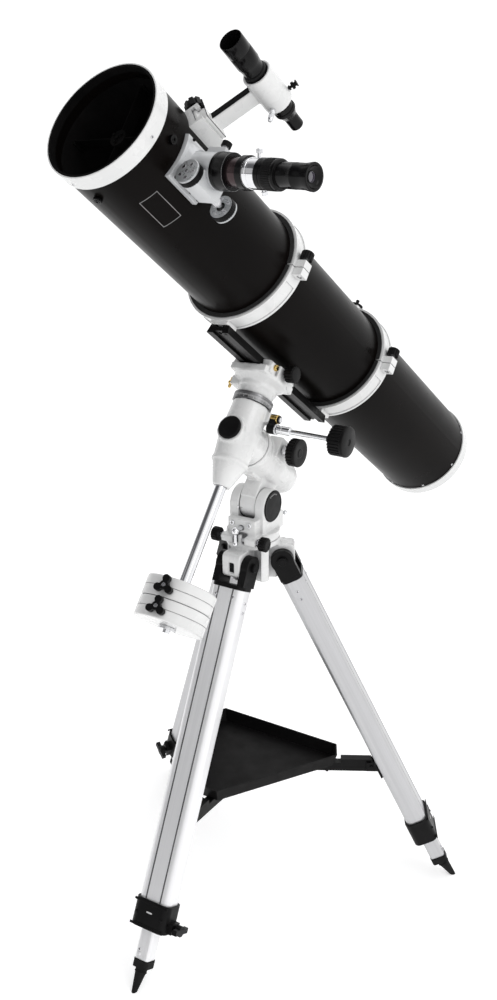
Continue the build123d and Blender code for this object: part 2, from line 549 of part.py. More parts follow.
# pinion shaft with a knob at each end
fk_ = cx(4, -62, 38, 26, 124)
fk_ += Pos(24.4, 26, 124) * Rot(0, 90, 0) * knurled(19, 13, 24, 1.1)
fk_ += Pos(-61, 26, 124) * Rot(0, 90, 0) * knurled(19, 13, 24, 1.1)
fk_ += cx(6.6, -40, -24.4, 26, 124)
put("focus_knobs", FOC * one(fk_))
fl = cy(3, -46, -20.6, 0, 132) + Pos(0, -46, 132) * Rot(-90, 0, 0) * knurled(6.5, 9, 12, 0.8)
put("focus_lock", FOC * one(fl))

# ---------------------------------------------------------------- finder (frame FND: z along the tube, y outward)
shoe = bx(-17, 17, TUBE_R - 3, 112, 368, 432)
shoe -= cz(TUBE_R + 0.02, 360, 440)
shoe -= bx(-10.3, 10.3, 99.6, 113, 360, 440) + bx(-13.3, 13.3, 99.6, 106, 360, 440)
shoe -= cx(3.3, -30, -9, 102.5, 420)
shoe = one(shoe)
put("finder_shoe", FND * shoe)
fbk = bx(-13, 13, 100, 105.6, 372, 428) + bx(-10, 10, 100, 118, 376, 424)
fbk += bx(-7, 7, 112, 186, 387, 412)
fbk += Pos(0, FINDER_UP, 0) * cz(21.5, 366, 428)
fbk -= Pos(0, FINDER_UP, 0) * cz(17.4, 360, 440)
for ax in (30.0, 150.0, 270.0):
    fbk -= Pos(0, FINDER_UP, 375) * Rot(0, 0, ax + 60) * cx(2.2, 10, 40, 0, 0)
fbk = one(fbk)
put("finder_bracket", FND * fbk)
ft = Pos(0, FINDER_UP, 0) * (
    (cz(17, 448, 494) - cz(15.6, 452, 495))
    + cone_z(15.0, 17, 434, 448.1) + cz(16.6, 428.5, 434.1) + cz(14.5, 352, 429) + cz(15.5, 346, 352.1) + cone_z(10.5, 14.5, 336, 346.1)
    + cz(10, 313, 336.1)
)
ft -= Pos(0, FINDER_UP, 0) * cz(7.5, 312, 317)
put("finder_tube", FND * one(ft))
scr = []
for k, ax in enumerate((30.0, 150.0, 270.0)):
    f = Pos(0, FINDER_UP, 375) * Rot(0, 0, ax + 60)
    s_ = cx(2, 14.52, 30, 0, 0)
    s_ += f.inverse() * f * cx(5 if k != 1 else 3.6, 27, 36 if k != 1 else 40, 0, 0)
    scr.append(f * one(s_))
put("finder_tube", *[FND * s for s in scr])
ck = cx(3, -30, -13.5, 102.5, 420) + Pos(-20, 102.5, 420) * Rot(0, -90, 0) * knurled(10.5, 15, 12, 1.0)
put("finder_knob", FND * one(ck))

# ---------------------------------------------------------------- placing and writing
sx, sy = SHIFT
count = 0
lo = [1e9] * 3
hi = [-1e9] * 3
for name, solids in NODES.items():
    moved = [Pos(sx, sy, 0) * s for s in solids]
    shape = moved[0] if len(moved) == 1 else Compound(children=moved)
    bb = shape.bounding_box()
    for i, (l, h) in enumerate(zip(tuple(bb.min), tuple(bb.max))):
        lo[i], hi[i] = min(lo[i], l), max(hi[i], h)
    export_step(shape, "parts/" + name + ".step")
    count += 1
print(count, "nodes", [round(v, 2) for v in lo], [round(v, 2) for v in hi])
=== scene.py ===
import bpy, bmesh, math
from mathutils import Vector, Matrix


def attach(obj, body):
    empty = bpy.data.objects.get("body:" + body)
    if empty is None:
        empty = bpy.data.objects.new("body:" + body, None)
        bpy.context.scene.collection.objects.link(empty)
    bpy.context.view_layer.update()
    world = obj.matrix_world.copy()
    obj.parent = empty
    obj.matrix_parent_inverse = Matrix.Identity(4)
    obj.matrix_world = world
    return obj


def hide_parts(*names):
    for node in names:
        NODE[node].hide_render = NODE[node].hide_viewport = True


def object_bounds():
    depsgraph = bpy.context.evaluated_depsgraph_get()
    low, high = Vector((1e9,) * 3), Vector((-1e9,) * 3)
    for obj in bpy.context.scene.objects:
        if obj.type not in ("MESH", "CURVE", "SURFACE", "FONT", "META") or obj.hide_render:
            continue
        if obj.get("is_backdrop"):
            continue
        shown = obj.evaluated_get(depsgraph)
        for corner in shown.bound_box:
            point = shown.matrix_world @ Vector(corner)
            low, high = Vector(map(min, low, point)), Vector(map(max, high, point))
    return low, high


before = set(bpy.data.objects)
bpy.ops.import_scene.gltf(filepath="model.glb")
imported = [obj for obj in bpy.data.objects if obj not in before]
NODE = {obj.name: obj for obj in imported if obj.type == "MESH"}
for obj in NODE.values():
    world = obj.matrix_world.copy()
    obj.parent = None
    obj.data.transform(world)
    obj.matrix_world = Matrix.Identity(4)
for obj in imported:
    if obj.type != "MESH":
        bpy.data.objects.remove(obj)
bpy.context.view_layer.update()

# ------------------------------------------------------------------ geometry of the telescope, in mm, as in the CAD
SHIFT = Vector((0.0, -107.285, 0.0))
LAT = math.radians(39.75)
CROSS = Vector((0.0, -41.0, 881.4))
PIVOT = Vector((0.0, 6.5, 751.4))
EX = Vector((1.0, 0.0, 0.0))
POLE = Vector((0.0, -math.cos(LAT), math.sin(LAT)))
DECAX = POLE.cross(EX)
_t = math.radians(-7.41)
DX = math.cos(_t) * EX - math.sin(_t) * POLE
DZ = math.sin(_t) * EX + math.cos(_t) * POLE
TUBE = CROSS + 235.75 * DECAX
_f = math.radians(94.9)
FZ = math.sin(_f) * DX + math.cos(_f) * DECAX
FY = math.cos(_f) * DX - math.sin(_f) * DECAX
_g = math.radians(50.3)
GX = math.cos(_g) * DX - math.sin(_g) * DECAX
GY = math.sin(_g) * DX + math.cos(_g) * DECAX


def fr(o, x, y, z, shift=True):
    o = (o + SHIFT if shift else o) * 0.001
    return Matrix(((x[0], y[0], z[0], o[0]), (x[1], y[1], z[1], o[1]), (x[2], y[2], z[2], o[2]), (0, 0, 0, 1)))


WORLD = fr(Vector((0, 0, 0)), EX, Vector((0, 1, 0)), Vector((0, 0, 1)))
RA = fr(CROSS, EX, DECAX, POLE)
DEC = fr(CROSS, DX, DECAX, DZ)
OT = fr(TUBE, DX, DECAX, DZ)
FOC = fr(TUBE + 406.5 * DZ, DZ, FY, FZ)
FND = fr(TUBE, GX, GY, DZ)


def sub(M, pos, z, x=None):
    """A frame at pos (mm) in M whose z runs along the local direction z."""
    z = Vector(z).normalized()
    x = Vector(x) if x is not None else (Vector((1, 0, 0)) if abs(z.x) < 0.9 else Vector((0, 1, 0)))
    x = (x - z * x.dot(z)).normalized()
    y = z.cross(x)
    R = Matrix(((x[0], y[0], z[0], pos[0] * 0.001), (x[1], y[1], z[1], pos[1] * 0.001), (x[2], y[2], z[2], pos[2] * 0.001), (0, 0, 0, 1)))
    return M @ R


def leg_frame(a):
    b = math.radians(25.64)
    c, s = math.cos(math.radians(a)), math.sin(math.radians(a))
    z = Vector((-math.sin(b) * c, -math.sin(b) * s, math.cos(b)))
    x = Vector((s, -c, 0.0))
    return fr(Vector((387.1 * c, 387.1 * s, 0.0)), x, z.cross(x), z)


LEGS = {"front": -90.0, "right": 30.0, "rear": 150.0}


# ------------------------------------------------------------------ materials
def material(name, c0, c1, scale=9.0, rough=(0.3, 0.4), metal=0.0, spec=0.5, coat=0.0, coat_rough=0.1,
             bump=0.15, bump_scale=900.0, dist=0.0002, edge=0.0, axes=None, stretch=(1, 1, 1), detail=3.0,
             speck=None, transmission=0.0, painted_ao_shade=None, sheen=0.0, aniso=0.0, grime=0.0):
    if max(c1) < 0.03:                     # blacks under a bright studio
        c0, c1, spec = tuple(v * 0.45 for v in c0), tuple(v * 0.5 for v in c1), spec * 0.5
    elif metal < 0.2 and min(c0) > 0.6:    # white paint
        c0, c1 = tuple(v * 0.84 for v in c0), tuple(v * 0.88 for v in c1)
    m = bpy.data.materials.new(name)
    m.use_nodes = True
    nt = m.node_tree
    N, L = nt.nodes, nt.links
    b = N["Principled BSDF"]
    tc = N.new("ShaderNodeTexCoord")
    src = tc.outputs["Object"]
    if axes is not None:
        mp = N.new("ShaderNodeMapping")
        mp.inputs["Rotation"].default_value = Matrix(axes).to_euler("XYZ")
        L.new(src, mp.inputs["Vector"])
        src = mp.outputs["Vector"]
    mp2 = N.new("ShaderNodeMapping")
    mp2.inputs["Scale"].default_value = stretch
    L.new(src, mp2.inputs["Vector"])
    src = mp2.outputs["Vector"]
    n1 = N.new("ShaderNodeTexNoise")
    n1.inputs["Scale"].default_value = scale
    n1.inputs["Detail"].default_value = detail
    L.new(src, n1.inputs["Vector"])
    cr = N.new("ShaderNodeValToRGB")
    cr.color_ramp.elements[0].position = 0.35
    cr.color_ramp.elements[1].position = 0.65
    cr.color_ramp.elements[0].color = (*c0, 1)
    cr.color_ramp.elements[1].color = (*c1, 1)
    L.new(n1.outputs["Fac"], cr.inputs["Fac"])
    colour = cr.outputs["Color"]
    if speck is not None:
        vo = N.new("ShaderNodeTexVoronoi")
        vo.inputs["Scale"].default_value = speck[0]
        L.new(src, vo.inputs["Vector"])
        sr = N.new("ShaderNodeValToRGB")
        sr.color_ramp.elements[0].position = speck[1]
        sr.color_ramp.elements[1].position = speck[1] + 0.06
        sr.color_ramp.elements[0].color = (1, 1, 1, 1)
        sr.color_ramp.elements[1].color = (0, 0, 0, 1)
        L.new(vo.outputs["Distance"], sr.inputs["Fac"])
        mx = N.new("ShaderNodeMix")
        mx.data_type = "RGBA"
        mx.inputs[7].default_value = (*speck[2], 1)
        L.new(colour, mx.inputs[6])
        L.new(sr.outputs["Color"], mx.inputs[0])
        colour = mx.outputs[2]
    if painted_ao_shade is not None:
        # painted shade: crevices and undersides are darkened by ambient occlusion multiplied into the base colour
        ao = N.new("ShaderNodeAmbientOcclusion")
        ao.inputs["Distance"].default_value = painted_ao_shade[1]
        ao.samples = 6
        ar = N.new("ShaderNodeValToRGB")
        ar.color_ramp.elements[0].position = 0.15
        ar.color_ramp.elements[1].position = 0.75
        ar.color_ramp.elements[0].color = (*painted_ao_shade[0], 1)
        ar.color_ramp.elements[1].color = (1, 1, 1, 1)
        L.new(ao.outputs["AO"], ar.inputs["Fac"])
        mx = N.new("ShaderNodeMix")
        mx.data_type = "RGBA"
        mx.blend_type = "MULTIPLY"
        mx.inputs[0].default_value = 1.0
        L.new(colour, mx.inputs[6])
        L.new(ar.outputs["Color"], mx.inputs[7])
        colour = mx.outputs[2]
    L.new(colour, b.inputs["Base Color"])
    n2 = N.new("ShaderNodeTexNoise")
    n2.inputs["Scale"].default_value = scale * 4.3
    n2.inputs["Detail"].default_value = 4.0
    L.new(src, n2.inputs["Vector"])
    mr = N.new("ShaderNodeMapRange")
    mr.inputs["From Min"].default_value = 0.3
    mr.inputs["From Max"].default_value = 0.7
    mr.inputs["To Min"].default_value = rough[0]
    mr.inputs["To Max"].default_value = rough[1]
    L.new(n2.outputs["Fac"], mr.inputs["Value"])
    L.new(mr.outputs["Result"], b.inputs["Roughness"])
    n3 = N.new("ShaderNodeTexNoise")
    n3.inputs["Scale"].default_value = bump_scale
    n3.inputs["Detail"].default_value = 2.0
    L.new(src, n3.inputs["Vector"])
    bp = N.new("ShaderNodeBump")
    bp.inputs["Strength"].default_value = bump
    bp.inputs["Distance"].default_value = dist
    L.new(n3.outputs["Fac"], bp.inputs["Height"])
    if edge > 0:
        be = N.new("ShaderNodeBevel")
        be.samples = 4
        be.inputs["Radius"].default_value = edge
        L.new(be.outputs["Normal"], bp.inputs["Normal"])
    L.new(bp.outputs["Normal"], b.inputs["Normal"])
    b.inputs["Metallic"].default_value = metal
    b.inputs["Specular IOR Level"].default_value = spec
    b.inputs["Coat Weight"].default_value = coat
    b.inputs["Coat Roughness"].default_value = coat_rough
    b.inputs["Transmission Weight"].default_value = transmission
    b.inputs["Sheen Weight"].default_value = sheen
    b.inputs["Anisotropic"].default_value = aniso
    return m


E = 0.0007
# the white paints below and the focuser silver get painted shade in crevices and undersides from their AO darkening
white = material("white_enamel", (0.80, 0.805, 0.80), (0.86, 0.86, 0.855), scale=7, rough=(0.20, 0.32), spec=0.5, coat=0.35,
                 coat_rough=0.08, bump=0.10, bump_scale=420, dist=0.00012, edge=E, painted_ao_shade=((0.50, 0.50, 0.51), 0.014))
white_cast = material("white_cast_enamel", (0.79, 0.795, 0.79), (0.86, 0.86, 0.855), scale=12, rough=(0.22, 0.36), spec=0.5,
                      coat=0.4, coat_rough=0.1, bump=0.12, bump_scale=300, dist=0.00015, painted_ao_shade=((0.42, 0.42, 0.435), 0.018))
white_iron = material("white_weight_enamel", (0.78, 0.785, 0.78), (0.85, 0.85, 0.845), scale=10, rough=(0.20, 0.30), coat=0.4,
                      bump=0.22, bump_scale=180, dist=0.0003, edge=0.0012, painted_ao_shade=((0.5, 0.5, 0.51), 0.012))
tube_black = material("tube_black_enamel", (0.0048, 0.0036, 0.0032), (0.0072, 0.0054, 0.0048), scale=5, rough=(0.27, 0.34), spec=0.11,
                      coat=0.0, bump=0.10, bump_scale=520, dist=0.0002, speck=(420, 0.02, (0.016, 0.014, 0.013)))
inner_black = material("matt_black_lining", (0.006, 0.006, 0.006), (0.011, 0.010, 0.010), scale=30, rough=(0.8, 0.95), spec=0.1,
                       bump=0.5, bump_scale=700, dist=0.0004)
plastic = material("black_moulding", (0.0062, 0.0060, 0.0064), (0.0105, 0.0100, 0.0105), scale=20, rough=(0.34, 0.46), spec=0.26,
                   bump=0.35, bump_scale=1100, dist=0.0002, edge=E)
gloss_black = material("black_anodised", (0.0045, 0.0042, 0.0045), (0.0085, 0.0080, 0.0085), scale=14, rough=(0.14, 0.24), spec=0.34,
                       bump=0.10, bump_scale=900, dist=0.00015, edge=0.0004)
bar_black = material("bar_black_anodised", (0.0045, 0.0044, 0.0046), (0.0085, 0.0080, 0.0080), scale=6, rough=(0.26, 0.38), spec=0.28,
                     axes=(DX, DECAX, DZ), stretch=(14, 14, 0.5), bump=0.3, bump_scale=90, dist=0.0002, edge=0.0004)
tray_black = material("tray_black_paint", (0.0068, 0.0062, 0.0064), (0.0100, 0.0092, 0.0094), scale=10, rough=(0.42, 0.55), spec=0.2,
                      bump=0.5, bump_scale=650, dist=0.0002, edge=0.0005)
rubber = material("foot_rubber", (0.012, 0.012, 0.012), (0.022, 0.021, 0.021), scale=30, rough=(0.6, 0.8), spec=0.3, bump=0.6,
                  bump_scale=500, dist=0.0004, edge=E)
chrome = material("bright_chrome", (0.72, 0.73, 0.75), (0.82, 0.82, 0.83), scale=10, rough=(0.05, 0.12), metal=1.0, bump=0.05,
                  bump_scale=800, dist=0.0001, edge=0.0004)
steel = material("zinc_steel", (0.58, 0.58, 0.60), (0.70, 0.70, 0.71), scale=30, rough=(0.18, 0.3), metal=1.0, bump=0.15,
                 bump_scale=900, dist=0.0001, edge=0.0003)
brass = material("brass", (0.66, 0.45, 0.14), (0.80, 0.58, 0.22), scale=40, rough=(0.16, 0.28), metal=1.0, bump=0.15, bump_scale=900,
                 dist=0.0001, edge=0.0003)
circle_grey = material("circle_grey_metal", (0.16, 0.16, 0.165), (0.26, 0.26, 0.265), scale=30, rough=(0.25, 0.38), metal=0.9,
                       bump=0.2, bump_scale=900, dist=0.0001, edge=0.0004)
silver = material("focuser_silver", (0.62, 0.63, 0.64), (0.70, 0.71, 0.72), scale=14, rough=(0.30, 0.40), metal=0.25, spec=0.5,
                  bump=0.12, bump_scale=700, dist=0.0001, edge=0.001, painted_ao_shade=((0.35, 0.35, 0.37), 0.014))
knob_face = material("knob_face_silver", (0.40, 0.41, 0.42), (0.52, 0.53, 0.54), scale=30, rough=(0.24, 0.34), metal=0.6, bump=0.06,
                     bump_scale=900, dist=0.00005, edge=0.0004)
drawtube_m = material("drawtube_bronze_black", (0.040, 0.026, 0.028), (0.060, 0.040, 0.042), scale=12, rough=(0.16, 0.24), metal=0.75,
                      spec=0.5, bump=0.15, bump_scale=900, dist=0.0001, edge=0.0003)
lens = material("coated_lens", (0.012, 0.010, 0.022), (0.030, 0.018, 0.045), scale=40, rough=(0.02, 0.04), spec=0.9, coat=1.0,
                coat_rough=0.01, bump=0.0, bump_scale=10)
mirror_m = material("silvered_glass", (0.86, 0.87, 0.89), (0.90, 0.91, 0.92), scale=8, rough=(0.01, 0.02), metal=1.0, bump=0.01, bump_scale=50)
mark = material("white_marking", (0.70, 0.70, 0.70), (0.80, 0.80, 0.80), scale=60, rough=(0.5, 0.6), bump=0.1, bump_scale=900)
grey_mark = material("grey_marking", (0.20, 0.20, 0.20), (0.28, 0.28, 0.28), scale=60, rough=(0.5, 0.6), bump=0.1, bump_scale=900)
felt = material("black_felt", (0.004, 0.004, 0.004), (0.010, 0.010, 0.010), scale=60, rough=(0.9, 1.0), spec=0.05, sheen=0.3, bump=1.0,
                bump_scale=1500, dist=0.0004)
groove = material("groove_shade", (0.10, 0.10, 0.105), (0.16, 0.16, 0.165), scale=30, rough=(0.4, 0.5), metal=0.6, bump=0.1, bump_scale=300)
# painted shade: this near-black fills screw recesses, the hub's slots and strips on the finder bracket where only shade
# falls; it also prints the latitude scale
shade_and_print_black = material("painted_shade_and_print_black", (0.010, 0.010, 0.011), (0.020, 0.020, 0.022), scale=30, rough=(0.6, 0.8), spec=0.2, bump=0.2, bump_scale=500)


def leg_metal(name, a):
    b = math.radians(25.64)
    c, s = math.cos(math.radians(a)), math.sin(math.radians(a))
    z = Vector((-math.sin(b) * c, -math.sin(b) * s, math.cos(b)))
    x = Vector((s, -c, 0.0))
    # painted light: the front leg gets a lighter, less metallic copy of the same aluminium than the right and rear
    # legs, for the light falling on it
    tone, metal = (0.84, 0.55) if name.endswith("front") else (0.50, 0.85)
    return material(name, (tone, tone, tone + 0.01), (tone + 0.04, tone + 0.04, tone + 0.05), scale=8, rough=(0.30, 0.38), metal=metal, axes=(x, z.cross(x), z),
                    stretch=(30, 30, 0.4), bump=0.12, bump_scale=60, dist=0.0001, edge=0.0005, aniso=0.3)


leg_mats = {k: leg_metal("leg_aluminium_" + k, a) for k, a in LEGS.items()}


# ------------------------------------------------------------------ mesh building
class Piece:
    def __init__(self, name, body, bevel=0.0, slot=None):
        self.bm, self.name, self.body, self.bevel, self.mats, self.slot = bmesh.new(), name, body, bevel, [], slot

    def mi(self, m):
        if m not in self.mats:
            self.mats.append(m)
        return self.mats.index(m)

    def put(self, M, verts, faces, m):
        k = self.mi(m)
        vs = [self.bm.verts.new(M @ (Vector(v) * 0.001)) for v in verts]
        for f in faces:
            try:
                face = self.bm.faces.new([vs[i] for i in f])
                face.material_index = k
                face.smooth = True
            except ValueError:
                pass
        return self

    def lathe(self, M, prof, m, seg=64, close=False, a0=0.0, a1=360.0):
        full = abs(a1 - a0) > 359.9
        n = seg if full else seg + 1
        verts, rows = [], []
        for r, z in prof:
            if r < 1e-6 and full:
                rows.append([len(verts)])
                verts.append((0, 0, z))
            else:
                row = []
                for i in range(n):
                    a = math.radians(a0 + (a1 - a0) * i / seg)
                    row.append(len(verts))
                    verts.append((r * math.cos(a), r * math.sin(a), z))
                rows.append(row)
        faces = []
        pairs = list(zip(rows, rows[1:])) + ([(rows[-1], rows[0])] if close else [])
        for A, B in pairs:
            steps = n if full else n - 1
            for i in range(steps):
                j = (i + 1) % n
                if len(A) == 1 and len(B) == 1:
                    continue
                if len(A) == 1:
                    faces.append((A[0], B[j], B[i]))
                elif len(B) == 1:
                    faces.append((A[i], A[j], B[0]))
                else:
                    faces.append((A[i], A[j], B[j], B[i]))
        if not full and close:
            faces.append([r[0] for r in rows])
            faces.append([r[-1] for r in rows][::-1])
        return self.put(M, verts, faces, m)

    def disc(self, M, r, z0, z1, m, c=0.6, seg=48):
        return self.lathe(M, [(0, z0), (r - c, z0), (r, z0 + c), (r, z1 - c), (r - c, z1), (0, z1)], m, seg)

    def ring(self, M, ro, ri, z0, z1, m, c=0.4, seg=64, a0=0.0, a1=360.0):
        return self.lathe(M, [(ri + c, z0), (ro - c, z0), (ro, z0 + c), (ro, z1 - c), (ro - c, z1), (ri + c, z1), (ri, z1 - c), (ri, z0 + c)], m, seg, True, a0, a1)

    def prism(self, M, pts, z0, z1, m):
        n = len(pts)
        verts = [(x, y, z0) for x, y in pts] + [(x, y, z1) for x, y in pts]
        faces = [list(range(n))[::-1], list(range(n, 2 * n))] + [(i, (i + 1) % n, n + (i + 1) % n, n + i) for i in range(n)]
        return self.put(M, verts, faces, m)

    def box(self, M, x0, x1, y0, y1, z0, z1, m):
        return self.prism(M, [(x0, y0), (x1, y0), (x1, y1), (x0, y1)], z0, z1, m)

    def ribs(self, M, r, z0, z1, n, depth, m, duty=0.55):
        pts = []
        for i in range(n):
            for f, rr in ((0.0, r), (duty, r), (duty + 0.10, r - depth), (0.90, r - depth)):
                a = 2 * math.pi * (i + f) / n
                pts.append((rr * math.cos(a), rr * math.sin(a)))
        return self.prism(M, pts, z0, z1, m)

    def sphere(self, M, r, m, seg=24):
        prof = [(0, -r)] + [(r * math.cos(a), r * math.sin(a)) for a in [math.radians(-90 + 180 * i / 12) for i in range(1, 12)]] + [(0, r)]
        return self.lathe(M, prof, m, seg)

    def socket_screw(self, M, r, h, m, hole=None):
        """Socket cap: rounded head with a hexagonal recess, the recess painted near-black as shade."""
        self.lathe(M, [(0, -0.4), (r, -0.4), (r, h - 0.5), (r - 0.5, h), (r * 0.55, h)], m, 32)
        k = r * 0.55
        self.lathe(M, [(k, h), (k, h * 0.35), (0, h * 0.3)], hole or shade_and_print_black, 6)
        return self

    def pan_screw(self, M, r, h, m):
        """Low domed head with a cross recess, drawn as two near-black bars of painted shade."""
        self.lathe(M, [(r, -0.3), (r, h * 0.35), (r * 0.85, h * 0.75), (r * 0.5, h), (0, h * 1.02)], m, 24)
        self.box(M, -r * 0.6, r * 0.6, -r * 0.12, r * 0.12, h * 0.7, h * 1.06, shade_and_print_black)
        self.box(M, -r * 0.12, r * 0.12, -r * 0.6, r * 0.6, h * 0.7, h * 1.06, shade_and_print_black)
        return self

    def done(self, *replaced):
        bmesh.ops.remove_doubles(self.bm, verts=self.bm.verts, dist=1e-7)
        bmesh.ops.recalc_face_normals(self.bm, faces=self.bm.faces)
        for e in self.bm.edges:
            if len(e.link_faces) == 2 and e.calc_face_angle(0.0) > math.radians(32):
                e.smooth = False
        me = bpy.data.meshes.new(self.name)
        self.bm.to_mesh(me)
        self.bm.free()
        for m in self.mats:
            me.materials.append(m)
        o = bpy.data.objects.new(self.name, me)
        bpy.context.scene.collection.objects.link(o)
        if self.bevel > 0:
            b = o.modifiers.new("edge", "BEVEL")
            b.width = self.bevel * 0.001
            b.segments = 2
            b.limit_method = "ANGLE"
            b.angle_limit = math.radians(35)
            b.miter_outer = "MITER_ARC"
        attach(o, self.body)
        if replaced:
            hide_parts(*replaced)
        return o


# ------------------------------------------------------------------ the CAD nodes' materials and soft edges
def use(m, *names):
    for n in names:
        o = NODE[n]
        if not o.material_slots:
            o.data.materials.append(m)
        for s in o.material_slots:
            s.link = "OBJECT"
            s.material = m


def cast(voxel, times, *names):
    """Castings get rounded inner and outer corners."""
    for n in names:
        o = NODE[n]
        w = o.modifiers.new("join", "WELD")
        w.merge_threshold = 0.00002
        r = o.modifiers.new("form", "REMESH")
        r.mode = "VOXEL"
        r.voxel_size = voxel * 0.001
        r.use_smooth_shade = True
        s = o.modifiers.new("soften", "SMOOTH")
        s.factor = 0.5
        s.iterations = times


use(white_cast, "tripod_hub", "azimuth_base", "polar_housing", "dec_housing", "saddle", "finder_shoe", "finder_bracket")
use(white, "tube_ring_lowers", "tube_ring_upper_front", "tube_ring_upper_rear", "front_ring", "mirror_cell")
use(white_iron, "weight_upper", "weight_lower")
use(tube_black, "tube")
use(plastic, "leg_brackets", "leg_clamps", "spreader", "leg_wing_front", "leg_wing_right", "leg_wing_rear", "azimuth_knob_left",
    "azimuth_knob_right", "polar_cap", "weight_knob_upper", "weight_knob_lower", "focus_lock", "finder_knob", "camera_stud", "dec_bracket")
for k in LEGS:
    use(leg_mats[k], "leg_tube_" + k, "leg_slider_" + k)
use(rubber, "foot_front", "foot_right", "foot_rear")
use(tray_black, "tray")
use(chrome, "latitude_bolt_north", "latitude_bolt_south", "weight_shaft")
use(brass, "dec_lock")
use(circle_grey, "dec_circle")
use(bar_black, "dovetail_bar")
use(inner_black, "spider")
use(gloss_black, "finder_tube", "eyepiece")
use(drawtube_m, "drawtube")
use(silver, "focuser_body")
use(mirror_m, "primary_mirror", "secondary_mirror")
cast(1.5, 6, "dec_housing", "polar_housing", "saddle", "azimuth_base", "tripod_hub")
cast(1.2, 4, "finder_bracket")

# ------------------------------------------------------------------ tube: lining, plate, screws, felt
P = Piece("tube_lining", "ota")
P.ring(OT, 89.45, 88.9, -534, 486.5, inner_black, c=0.1, seg=128)
P.done()
P = Piece("mouth_blacking", "ota")
P.lathe(OT, [(88.25, 500.9), (88.25, 513.08), (91.5, 513.08), (91.5, 513.0), (88.1, 513.18), (88.1, 500.9)], inner_black, 128, True)
P.done()


def on_tube(angle, z, r=91.0):
    """Frame on the tube's wall, z outward, x along the tube; the angle runs from the side away from the saddle."""
    a = math.radians(angle)
    c = Vector((math.sin(a), math.cos(a), 0.0))
    return sub(OT, (c[0] * r, c[1] * r, z), c, (0, 0, 1))


P = Piece("tube_plate", "ota")
for a0, a1, z0, z1 in ((130.5, 150.0, 373.0, 374.0), (130.5, 150.0, 431.0, 432.0), (130.5, 131.1, 374.0, 431.0), (149.4, 150.0, 374.0, 431.0)):
    # angles here run from +y towards +x, and the lathe's from +x towards +y
    P.lathe(OT, [(91.03, z0), (91.14, z0), (91.14, z1), (91.03, z1)], grey_mark, seg=16, close=True, a0=90 - a1, a1=90 - a0)
P.done()

P = Piece("tube_screws", "ota", slot="bright_steel")
for a in (0, 90, 180, 270):
    P.pan_screw(on_tube(a + 12, 496, 93.35), 2.2, 1.2, steel)
for i in range(8):
    P.pan_screw(on_tube(i * 45 + 20, -537, 90.98), 2.3, 1.3, steel)
P.done()
for i, a in enumerate((0, 90, 180, 270)):
    P = Piece("vane_nut_%d" % i, "ota", bevel=0.25)
    M = on_tube(a, 463, 91.55)
    P.ribs(M, 6.6, 0.0, 5.0, 22, 0.5, gloss_black)
    P.lathe(M, [(0, 5.02), (4.6, 5.02), (4.2, 5.6), (1.9, 5.7), (1.7, 4.9), (0, 4.8)], plastic, 32)
    P.done()

for nm, zc, body in (("front", 134.0, "ring_front"), ("rear", -177.0, "ring_rear")):
    P = Piece("ring_felt_lower_" + nm, "bar")
    P.lathe(OT, [(91.06, zc - 16.3), (91.36, zc - 16.3), (91.36, zc + 16.3), (91.06, zc + 16.3)], felt, 96, True, 181.0, 359.0)
    # the next two lathes lay thin black annuli on both faces of the ring, r 91.3 to 98.6
    P.lathe(OT, [(91.3, zc + 17.02), (98.6, zc + 17.02), (98.6, zc + 17.3), (91.3, zc + 17.3)], felt, 96, True, 181.0, 359.0)
    P.lathe(OT, [(91.3, zc - 17.3), (98.6, zc - 17.3), (98.6, zc - 17.02), (91.3, zc - 17.02)], felt, 96, True, 181.0, 359.0)
    P.done()
    P = Piece("ring_felt_upper_" + nm, body)
    P.lathe(OT, [(91.06, zc - 16.3), (91.36, zc - 16.3), (91.36, zc + 16.3), (91.06, zc + 16.3)], felt, 96, True, 1.0, 179.0)
    # the next two lathes lay thin black annuli on both faces of the ring, r 91.3 to 98.6
    P.lathe(OT, [(91.3, zc + 17.02), (98.6, zc + 17.02), (98.6, zc + 17.3), (91.3, zc + 17.3)], felt, 96, True, 1.0, 179.0)
    P.lathe(OT, [(91.3, zc - 17.3), (98.6, zc - 17.3), (98.6, zc - 17.02), (91.3, zc - 17.02)], felt, 96, True, 1.0, 179.0)
    P.done()
    # clamp knob with its chrome collar
    P = Piece("ring_knob_detail_" + nm, "ring_screw_" + nm, bevel=0.4)
    K = sub(OT, (111, 0, zc), (0, 1, 0), (1, 0, 0))
    P.lathe(K, [(0, -12), (2.4, -12), (3, -11), (3, 13.3), (5.6, 13.3), (5.6, 15.0), (4.4, 15.4), (4.4, 18.2), (0, 18.2)], chrome, 32)
    P.ribs(K, 10.4, 18.0, 30.5, 14, 1.3, plastic)
    P.lathe(K, [(0, 30.4), (8.6, 30.4), (8.0, 32.0), (4.0, 32.8), (0, 33.0)], plastic, 32)
    P.done("ring_knob_" + nm)

